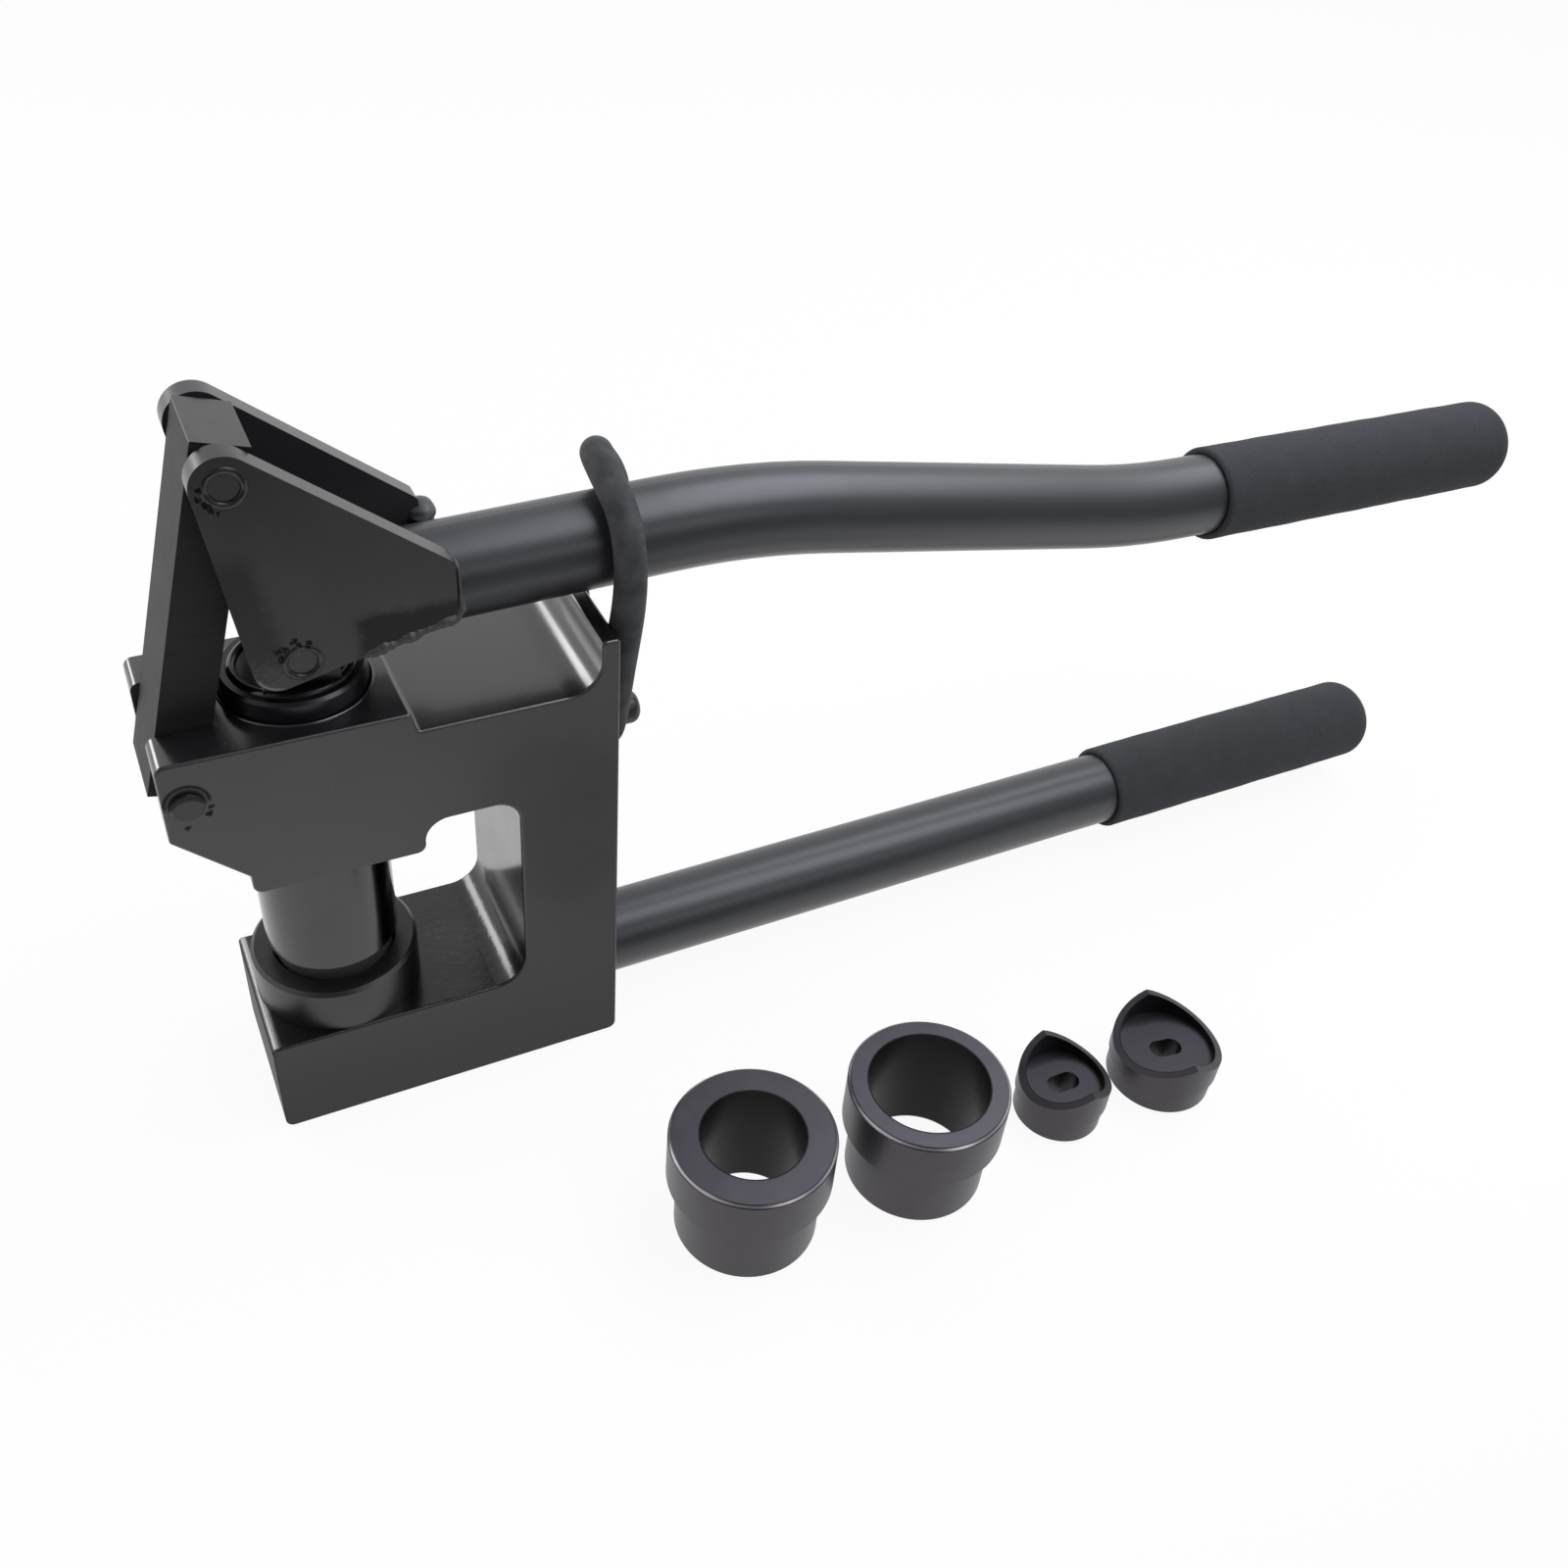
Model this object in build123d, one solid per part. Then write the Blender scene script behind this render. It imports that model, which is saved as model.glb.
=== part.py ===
import os
from math import atan2, cos, degrees, hypot, radians, sin, tan

from build123d import *

# Hand punch with a lever linkage, closed, in millimetres.
# X runs from the nose to the handles, Y through the block's thickness, Z up.
# The origin is on the ram's axis, on the face that the block stands on.

# Frame block: a C-shaped profile in X and Z, cut from one thick plate
frame_thickness = 46.8
base_left = -24.0
frame_right = 76.8
base_height = 33.4
throat_depth = 48.8
jaw_bottom = 92.2
jaw_height = 45.6
pocket_rise = 9.8
pocket_left = 23.4
lower_step = 5.7
step_x = 23.8
post_thickness = 4.8
post_rise = 15.0
nose_left = -37.2
neck_left = -20.6
neck_rise = 6.0
nose_slope_run = 16.6
throat_floor_radius = 9.0
throat_ceiling_radius = 7.0
pocket_radius = 6.5
platform_radius = 9.4
corner_radius = 2.5
small_radius = 1.2
edge_round = 0.8

# Ram, running in a bore through the upper jaw
ram_diameter = 36.0
ram_clearance = 0.06
ram_bottom = 52.2
ram_stand = 5.8
bore_chamfer = 0.8
ram_edge = 0.8

# Linkage: places of the three pins and the bars between them
pin_diameter = 8.0
pin_fit = 0.02
pin_clearance = 0.05
pin_recess = 0.3
nose_pin_stand = 0.9
nose_pin_inset = 5.7
nose_pin_drop = 12.6
ram_pin_rise = 17.8
crank_x = -10.8
crank_z = 47.4
link_width = 12.7
link_depth = 22.2
link_end_margin = 6.4
slot_side_gap = 0.3
slot_wall = 2.0
# The ram's pin hole is wider than its pin by the sideways travel of the lever's pivot
ram_pin_play = 2.7
tongue_wall = 2.6
tongue_gap = 0.2

# Side plates and upper handle
plate_thickness = 6.0
plate_boss_radius = 7.3
plate_heel_radius = 6.0
plate_heel_x = -5.4
plate_heel_drop = 0.7
plate_end_x = 37.2
plate_end_top_rise = 18.4
plate_end_bottom_rise = 5.8
plate_corner_radius = 2.0
tube_diameter = 25.0
tube_wall = 2.5
tube_inside = 21.0
tube_rise = 5.2
first_run = 105.0
first_angle = 1.7
middle_run = 135.6
middle_angle = -10.4
last_run = 146.8
last_angle = -0.8
bend_radius = 230.0

# Grips: closed sleeves pushed over the tube ends
upper_grip_length = 124.5
lower_grip_length = 120.0
grip_diameter = 29.0
grip_gap = 0.05
grip_cap = 5.0
grip_end_radius = 8.0
grip_mouth_radius = 1.5

# Lower handle, set in a blind socket in the frame
lower_tube_z = 17.7
lower_angle = 0.7
socket_depth = 18.0
lower_reach = 310.1
weld_leg = 4.0
weld_radius = 2.4
weld_spread = 4.2

# Rubber ring and its stud
stud_z = 106.0
stud_shank_radius = 2.2
stud_head_radius = 4.8
stud_head_height = 5.2
stud_root = 10.0
strand_diameter = 8.5
strap_gap = 0.4
strap_side_gap = 0.5
strap_arch = 1.228
strap_sweep = 5.0
strap_belly = 20.0

# Tooling: stepped dies and cupped punches with a two-pointed cutting rim
die_flange_diameter = 45.7
die_flange_height = 17.0
die_body_diameter = 40.0
die_body_height = 20.0
die_sink = 2.8
die_top_chamfer = 1.0
die_flange_chamfer = 1.4
die_fit = 0.05
small_hole = 28.6
large_hole = 34.1
punch_die_gap = 0.35
punch_height = 21.0
punch_floor = 12.4
punch_valley = 13.6
punch_rim_wall = 2.2
punch_land = 9.0
punch_relief = 0.7
punch_slot_length = 10.4
screw_diameter = 6.0
screw_head_diameter = 10.0
screw_head_height = 5.5
screw_grip = 12.0
screw_socket = 5.0
screw_socket_depth = 3.0
screw_clearance = 0.1

# Places on the floor where the loose tooling stands
small_die_place = (85.0, -101.4)
large_die_place = (137.7, -104.4)
small_punch_place = (188.5, -104.0)
large_punch_place = (226.0, -105.0)
small_punch_turn = 90.0
large_punch_turn = 81.0

# Values worked out from the sizes above
half_thickness = frame_thickness / 2
platform_top = jaw_bottom + jaw_height
ram_radius = ram_diameter / 2
pin_radius = pin_diameter / 2
tube_radius = tube_diameter / 2
plate_inner = tube_radius
plate_outer = plate_inner + plate_thickness
nose_pin = (nose_left + nose_pin_inset, platform_top - nose_pin_drop)
ram_pin = (0.0, platform_top + ram_pin_rise)
link_pin = (ram_pin[0] + crank_x, ram_pin[1] + crank_z)
ram_shoulder = platform_top + ram_stand
strand_radius = strand_diameter / 2
strap_x = frame_right + strap_gap + strand_radius
seat_floor = base_height - die_sink - die_body_height
tube_start = (plate_end_x - tube_inside, ram_pin[1] + tube_rise)


def prism(face, y_low, y_high):
    """Extrude a sketch drawn in X and Z between two Y planes."""
    return Pos(0, y_high, 0) * extrude(Plane.XZ * face, amount=y_high - y_low)


def rod_y(centre, radius, y_low, y_high):
    """A cylinder along Y at an X and Z place."""
    return prism(Pos(*centre) * Circle(radius), y_low, y_high)


def turned(points, axis=Axis.Z):
    """Revolve a closed outline of radius and height about the Z axis."""
    return revolve(Plane.XZ * make_face(Polyline(*points, close=True)), axis)


def along(place, angle):
    """Frame whose Z axis runs along a handle that leaves an X and Z place at an angle above X."""
    direction = (cos(radians(angle)), 0, sin(radians(angle)))
    return Location(Plane(origin=(place[0], 0, place[1]), x_dir=(0, 1, 0), z_dir=direction))


def step_from(place, run, angle):
    """The X and Z place that lies a run away from another one."""
    return (place[0] + run * cos(radians(angle)), place[1] + run * sin(radians(angle)))


# Upper handle's bend points, worked out once for the tube and for its grip
first_bend = step_from(tube_start, first_run, first_angle)
second_bend = step_from(first_bend, middle_run, middle_angle)
tube_end = step_from(second_bend, last_run, last_angle)


def frame_outline():
    """Closed profile of the block, with each corner's own radius."""
    lower_platform = platform_top - lower_step
    post_top = lower_platform + post_rise
    pocket_top = jaw_bottom + pocket_rise
    corners = [
        ((base_left, 0), corner_radius),
        ((frame_right, 0), corner_radius),
        ((frame_right, post_top), small_radius),
        ((frame_right - post_thickness, post_top), small_radius),
        ((frame_right - post_thickness, lower_platform), platform_radius),
        ((step_x, lower_platform), small_radius),
        ((step_x - small_radius, platform_top), small_radius),
        ((nose_left, platform_top), corner_radius),
        ((nose_left, jaw_bottom + neck_rise + nose_slope_run), small_radius),
        ((neck_left, jaw_bottom + neck_rise), small_radius),
        ((neck_left, jaw_bottom), corner_radius),
        ((pocket_left, jaw_bottom), corner_radius),
        ((pocket_left, pocket_top), pocket_radius),
        ((throat_depth, pocket_top), throat_ceiling_radius),
        ((throat_depth, base_height), throat_floor_radius),
        ((base_left, base_height), small_radius),
    ]
    points = [corner[0] for corner in corners]
    radii = [corner[1] for corner in corners]
    return make_face(FilletPolyline(*points, radius=radii, close=True))


def make_frame():
    """The C-shaped block with its ram bore, die seat, slug hole, nose slot, sockets and pin hole."""
    block = prism(frame_outline(), -half_thickness, half_thickness)
    outline_edges = block.faces().filter_by(Axis.Y).edges()
    block = fillet(outline_edges, edge_round)
    bore = ram_radius + ram_clearance
    block -= Pos(0, 0, jaw_bottom + jaw_height / 2) * Cylinder(bore, jaw_height * 2)
    rim = Pos(0, 0, platform_top - bore_chamfer / 2)
    block -= rim * Cone(bore, bore + bore_chamfer, bore_chamfer)
    seat_radius = die_body_diameter / 2 + die_fit
    sink_radius = die_flange_diameter / 2 + die_fit
    block -= Pos(0, 0, base_height) * Cylinder(seat_radius, 2 * (die_body_height + die_sink))
    block -= Pos(0, 0, base_height) * Cylinder(sink_radius, 2 * die_sink)
    slug_radius = large_hole / 2 + 1
    block -= Pos(0, 0, seat_floor / 2) * Cylinder(slug_radius, seat_floor + 1)
    slot_half = link_depth / 2 + slot_side_gap
    slot_end = -(bore + slot_wall)
    slot_length = slot_end - nose_left + 1
    slot = Box(slot_length, 2 * slot_half, jaw_height * 2, align=(Align.MAX, Align.CENTER, Align.CENTER))
    block -= Pos(slot_end, 0, platform_top) * slot
    block -= rod_y(nose_pin, pin_radius + pin_fit, -frame_thickness, frame_thickness)
    socket_start = step_from((frame_right, lower_tube_z), -socket_depth, lower_angle)
    socket = along(socket_start, lower_angle)
    block -= socket * Cylinder(tube_radius + grip_gap, 2 * socket_depth, align=(Align.CENTER, Align.CENTER, Align.MIN))
    stud_hole = Cylinder(stud_shank_radius + pin_fit, 2 * stud_root, rotation=(0, 90, 0))
    block -= Pos(frame_right, 0, stud_z) * stud_hole
    return block


def make_ram():
    """Round slide with a milled tongue, a wide hole for its pin and a tapped hole for the punch screw."""
    length = ram_shoulder - ram_bottom
    body = Pos(0, 0, ram_bottom) * Cylinder(ram_radius, length, align=(Align.CENTER, Align.CENTER, Align.MIN))
    rims = body.edges().filter_by(GeomType.CIRCLE)
    body = chamfer(rims, ram_edge)
    hole_radius = pin_radius + ram_pin_play
    tongue_radius = hole_radius + tongue_wall
    neck_height = ram_pin[1] - ram_shoulder + 1
    neck = Pos(0, ram_pin[1] - neck_height / 2) * Rectangle(2 * tongue_radius, neck_height)
    tongue_face = neck + Pos(*ram_pin) * Circle(tongue_radius)
    tongue_half = plate_inner - tongue_gap
    body += prism(tongue_face, -tongue_half, tongue_half)
    body -= rod_y(ram_pin, hole_radius, -plate_outer, plate_outer)
    thread_hole = Cylinder(screw_diameter / 2 + pin_fit, 2 * (screw_grip + 2))
    return body - Pos(0, 0, ram_bottom) * thread_hole


def make_link():
    """Square-ended bar with a pin hole at each end."""
    span_x = link_pin[0] - nose_pin[0]
    span_z = link_pin[1] - nose_pin[1]
    length = hypot(span_x, span_z)
    lean = degrees(atan2(span_z, span_x))
    bar = Pos(length / 2, 0) * Rectangle(length + 2 * link_end_margin, link_width)
    for run in (0, length):
        bar -= Pos(run, 0) * Circle(pin_radius + pin_clearance)
    face = Pos(*nose_pin) * Rot(0, 0, lean) * bar
    return prism(face, -link_depth / 2, link_depth / 2)


def plate_outline():
    """Side plate: round boss at the link pin, round heel below the ram pin, blunt end on the tube."""
    boss = link_pin
    heel = (plate_heel_x, ram_pin[1] - plate_heel_drop)
    end_x = plate_end_x - plate_corner_radius
    end_top = (end_x, ram_pin[1] + plate_end_top_rise)
    end_bottom = (end_x, ram_pin[1] + plate_end_bottom_rise)
    rounds = [
        (boss, plate_boss_radius),
        (heel, plate_heel_radius),
        (end_bottom, plate_corner_radius),
        (end_top, plate_corner_radius),
    ]
    rims = [edge for place, radius in rounds for edge in (Pos(*place) * Circle(radius)).edges()]
    return make_hull(rims)


def make_plate(side):
    """One side plate with its two pin holes; side is -1 in front and 1 behind."""
    y_low, y_high = sorted((side * plate_inner, side * plate_outer))
    plate = prism(plate_outline(), y_low, y_high)
    for place in (link_pin, ram_pin):
        plate -= rod_y(place, pin_radius + pin_fit, y_low - 1, y_high + 1)
    return plate


def make_pin(centre, half_length):
    """A plain round pin along Y with broken edges."""
    pin = rod_y(centre, pin_radius, -half_length, half_length)
    return chamfer(pin.edges().filter_by(GeomType.CIRCLE), small_radius / 3)


def make_upper_tube():
    """Tube along two gentle bends, open where it ends between the plates."""
    route = [(place[0], 0, place[1]) for place in (tube_start, first_bend, second_bend, tube_end)]
    path = FilletPolyline(*route, radius=bend_radius)
    section = Plane(origin=path @ 0, z_dir=path % 0)
    ring = Circle(tube_radius) - Circle(tube_radius - tube_wall)
    return sweep(section * ring, path=path)


def make_lower_tube():
    """Straight tube from the bottom of the frame's socket."""
    start = step_from((frame_right, lower_tube_z), -socket_depth, lower_angle)
    ring = Circle(tube_radius) - Circle(tube_radius - tube_wall)
    return along(start, lower_angle) * extrude(ring, amount=socket_depth + lower_reach)


def make_grip(tube_tip, angle, length):
    """Sleeve with a closed, rounded end, seated on the tube's tip."""
    inner = tube_radius + grip_gap
    outer = grip_diameter / 2
    bore_depth = length - grip_cap
    sleeve = Cylinder(outer, length, align=(Align.CENTER, Align.CENTER, Align.MIN))
    top_rim = sleeve.edges().filter_by(GeomType.CIRCLE).sort_by(Axis.Z)[-1]
    sleeve = fillet(top_rim, grip_end_radius)
    low_rim = sleeve.edges().filter_by(GeomType.CIRCLE).sort_by(Axis.Z)[0]
    sleeve = fillet(low_rim, grip_mouth_radius)
    sleeve -= Cylinder(inner, 2 * bore_depth)
    mouth = step_from(tube_tip, grip_gap - bore_depth, angle)
    return along(mouth, angle) * sleeve


def make_front_weld(plate, tube):
    """Flattened bead along the front plate's lower edge and blunt end, a little proud of the plate."""
    bead_x = plate_end_x + weld_radius * 0.3
    low_start = (tube_start[0] - weld_radius / 2, ram_pin[1] - 2.0)
    low_end = (bead_x, ram_pin[1] + plate_end_bottom_rise - plate_corner_radius)
    top_end = (bead_x, ram_pin[1] + plate_end_bottom_rise + 3 * weld_radius)
    bead_y = weld_spread - plate_outer - weld_radius / 6
    path = FilletPolyline(*[(x, bead_y, z) for x, z in (low_start, low_end, top_end)], radius=2 * weld_radius)
    section = Plane(origin=path @ 0, x_dir=(0, 1, 0), z_dir=path % 0)
    bead = sweep(section * Ellipse(weld_spread, weld_radius), path=path)
    solids = (bead - plate - tube).solids()
    return solids.sort_by(SortBy.VOLUME)[-1]


def make_lower_weld():
    """Fillet bead round the lower tube, against the frame's rear face."""
    inner = tube_radius + grip_gap
    outline = [(inner, -weld_leg), (inner + weld_leg, -weld_leg), (inner + weld_leg, 0), (inner, weld_leg)]
    bead = along((frame_right, lower_tube_z), lower_angle) * turned(outline)
    return bead - Pos(frame_right, 0, lower_tube_z) * Box(60, 60, 60, align=(Align.MAX, Align.CENTER, Align.CENTER))


def make_stud():
    """Round stud with a domed head, pressed into the frame's rear face."""
    shank_length = stud_root + strand_diameter + 2 * strap_gap
    shank = Cylinder(stud_shank_radius, shank_length, align=(Align.CENTER, Align.CENTER, Align.MIN))
    head = Cylinder(stud_head_radius, stud_head_height, align=(Align.CENTER, Align.CENTER, Align.MIN))
    crown = head.edges().filter_by(GeomType.CIRCLE).sort_by(Axis.Z)[-1]
    head = fillet(crown, stud_head_radius * 0.6)
    shape = shank + Pos(0, 0, shank_length) * head
    return Pos(frame_right - stud_root, 0, stud_z) * Rot(0, 90, 0) * shape


def strap_corners():
    """Corners of the ring's middle line and their radii: up in front, over the handle, down behind."""
    low = stud_shank_radius + 2 * strap_gap + strand_radius
    hug = tube_radius + strap_side_gap + strand_radius
    axis_z = tube_start[1] + (strap_x - tube_start[0]) * tan(radians(first_angle))
    drop = axis_z - stud_z
    return [
        ((0, -0.9 * low, stud_z - low), 0.95 * low),
        ((0, -1.07 * low, stud_z + 0.3 * drop), 3 * low),
        ((0, -1.055 * hug, axis_z - 0.04 * hug), 1.15 * hug),
        ((0, -0.772 * hug, axis_z + 0.795 * hug), 0.92 * hug),
        ((0, 0.317 * hug, axis_z + strap_arch * hug), 0.52 * hug),
        ((0.83 * strap_sweep, 1.066 * hug, axis_z + 0.536 * hug), 0.8 * hug),
        ((strap_sweep, strap_belly, axis_z - 0.33 * hug), 0.8 * hug),
        ((0, 1.03 * strap_belly, stud_z + 0.65 * drop), 0.8 * hug),
        ((0, 0.67 * strap_belly, stud_z + 0.2 * drop), 0.8 * hug),
        ((0, low, stud_z - low), 0.95 * low),
    ]


def strap_half(first, last):
    """Part of the ring round some of its corners, between the middles of two straight sides."""
    corners = strap_corners()
    count = len(corners)
    picked = [corners[i % count] for i in range(first, last + 1)]
    before = corners[(first - 1) % count][0]
    after = corners[(last + 1) % count][0]
    start = tuple((p + q) / 2 for p, q in zip(before, picked[0][0]))
    end = tuple((p + q) / 2 for p, q in zip(picked[-1][0], after))
    points = [start, *[corner[0] for corner in picked], end]
    path = FilletPolyline(*points, radius=[corner[1] for corner in picked])
    section = Plane(origin=path @ 0, z_dir=path % 0)
    return sweep(section * Circle(strand_radius), path=path)


def make_strap():
    """Slack rubber ring round the stud and the handle."""
    return Pos(strap_x, 0, 0) * (strap_half(2, 5) + strap_half(6, 11))


def make_die(hole):
    """Stepped die, standing on Z = 0 with its flange on top."""
    bore = hole / 2
    flange = die_flange_diameter / 2
    body = die_body_diameter / 2
    top = die_body_height + die_flange_height
    outline = [
        (bore, 0),
        (body - die_top_chamfer, 0),
        (body, die_top_chamfer),
        (body, die_body_height),
        (flange - die_flange_chamfer, die_body_height),
        (flange, die_body_height + die_flange_chamfer),
        (flange, top - die_top_chamfer),
        (flange - die_top_chamfer, top),
        (bore, top),
    ]
    return turned(outline)


def make_punch(hole):
    """Cupped punch, standing on Z = 0, whose rim rises to two points at the ends of its Y axis."""
    cut = hole / 2 - punch_die_gap
    body = cut - punch_relief
    outline = [
        (0, 0),
        (body - small_radius, 0),
        (body, small_radius),
        (body, punch_height - punch_land - punch_relief - punch_floor / 4),
        (cut, punch_height - punch_land - punch_floor / 4),
        (cut, punch_height),
        (0, punch_height),
    ]
    blank = turned(outline)
    cup_depth = punch_height - punch_floor
    blank -= Pos(0, 0, punch_floor) * Cylinder(
        cut - punch_rim_wall, 2 * cup_depth, align=(Align.CENTER, Align.CENTER, Align.MIN)
    )
    fall = (punch_height - punch_valley) / cut
    reach = 2 * cut
    for side in (-1, 1):
        wedge = [(0, punch_height), (side * reach, punch_height), (side * reach, punch_height - fall * reach)]
        blank -= prism(make_face(Polyline(*wedge, close=True)), -reach, reach)
    slot = SlotOverall(punch_slot_length, screw_diameter + 2 * screw_clearance)
    return blank - extrude(slot, amount=punch_floor)


def make_punch_screw():
    """Socket-head screw that draws the punch up against the ram."""
    length = screw_grip + punch_floor
    shank = Cylinder(screw_diameter / 2, length, align=(Align.CENTER, Align.CENTER, Align.MIN))
    head = Cylinder(screw_head_diameter / 2, screw_head_height, align=(Align.CENTER, Align.CENTER, Align.MAX))
    socket = extrude(RegularPolygon(screw_socket / 2, 6), amount=screw_socket_depth)
    screw = shank + head - Pos(0, 0, -screw_head_height) * socket
    return Pos(0, 0, ram_bottom - punch_floor) * screw


def mounted_punch():
    """The punch turned over, its flat foot against the ram's lower end."""
    return Pos(0, 0, ram_bottom) * Rot(180, 0, 0) * make_punch(large_hole)


def build():
    """All pieces by node name."""
    upper_tube = make_upper_tube()
    plates = {-1: make_plate(-1), 1: make_plate(1)}
    front_weld = make_front_weld(plates[-1], upper_tube)
    lower_tip = step_from((frame_right, lower_tube_z), lower_reach, lower_angle)
    return {
        "frame": make_frame(),
        "ram": make_ram(),
        "punch": mounted_punch(),
        "punch_screw": make_punch_screw(),
        "die": Pos(0, 0, seat_floor) * make_die(large_hole),
        "link": make_link(),
        "link_lower_pin": make_pin(nose_pin, half_thickness + nose_pin_stand),
        "link_upper_pin": make_pin(link_pin, plate_outer - pin_recess),
        "ram_pin": make_pin(ram_pin, plate_outer - pin_recess),
        "handle_plate_front": plates[-1],
        "handle_plate_rear": plates[1],
        "upper_handle_tube": upper_tube,
        "upper_grip": make_grip(tube_end, last_angle, upper_grip_length),
        "plate_weld_front": front_weld,
        "plate_weld_rear": mirror(front_weld, about=Plane.XZ),
        "lower_handle_tube": make_lower_tube(),
        "lower_grip": make_grip(lower_tip, lower_angle, lower_grip_length),
        "lower_handle_weld": make_lower_weld(),
        "strap_stud": make_stud(),
        "handle_strap": make_strap(),
        "loose_die_small": Pos(*small_die_place) * make_die(small_hole),
        "loose_die_large": Pos(*large_die_place) * make_die(large_hole),
        "loose_punch_small": Pos(*small_punch_place) * Rot(0, 0, small_punch_turn - 90) * make_punch(small_hole),
        "loose_punch_large": Pos(*large_punch_place) * Rot(0, 0, large_punch_turn - 90) * make_punch(large_hole),
    }


os.makedirs("parts", exist_ok=True)
for node, shape in build().items():
    export_step(shape, f"parts/{node}.step")
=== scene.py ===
import math

import bmesh
import bpy
import numpy as np
from mathutils import Matrix, Vector


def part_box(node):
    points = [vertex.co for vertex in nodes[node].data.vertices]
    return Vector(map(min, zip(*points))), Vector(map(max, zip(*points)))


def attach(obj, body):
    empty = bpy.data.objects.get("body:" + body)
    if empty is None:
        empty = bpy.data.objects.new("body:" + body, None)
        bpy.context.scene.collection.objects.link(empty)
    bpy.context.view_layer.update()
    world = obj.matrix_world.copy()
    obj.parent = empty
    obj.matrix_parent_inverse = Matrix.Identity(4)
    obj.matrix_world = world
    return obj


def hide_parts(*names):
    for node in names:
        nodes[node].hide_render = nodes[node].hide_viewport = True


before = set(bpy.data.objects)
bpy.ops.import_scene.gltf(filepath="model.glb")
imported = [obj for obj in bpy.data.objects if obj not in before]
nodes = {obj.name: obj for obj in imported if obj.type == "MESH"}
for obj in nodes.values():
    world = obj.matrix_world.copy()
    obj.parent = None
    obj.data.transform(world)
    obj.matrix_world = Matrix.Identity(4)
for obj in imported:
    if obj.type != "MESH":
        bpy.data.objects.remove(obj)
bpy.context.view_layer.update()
mm = 0.001
print("frame loaded,", len(nodes), "nodes")


# Shader values: a wrapped socket, whose operators add Math nodes
class Value:
    def __init__(self, bench, socket):
        self.bench = bench
        self.socket = socket

    def maths(self, operation, first, second):
        return self.bench.add("ShaderNodeMath", {"operation": operation}, {0: first, 1: second})

    def __add__(self, other):
        return self.maths("ADD", self, other)

    def __radd__(self, other):
        return self.maths("ADD", other, self)

    def __sub__(self, other):
        return self.maths("SUBTRACT", self, other)

    def __rsub__(self, other):
        return self.maths("SUBTRACT", other, self)

    def __mul__(self, other):
        return self.maths("MULTIPLY", self, other)

    def __rmul__(self, other):
        return self.maths("MULTIPLY", other, self)

    def __pow__(self, other):
        return self.maths("POWER", self, other)

    def __abs__(self):
        return self.maths("ABSOLUTE", self, 0.0)


# What several finishes share: the noise of fine lines, the solid part of a ring mark's width, and the rims of
# punch dents in mm
lineNoise = {"scale": 1.0, "detail": 2.0, "rough": 0.6}
hoopCore = 0.2
dentRim = {"ragged": 2.4, "noise": (1100.0, 3.0), "soft": 0.3}


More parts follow.
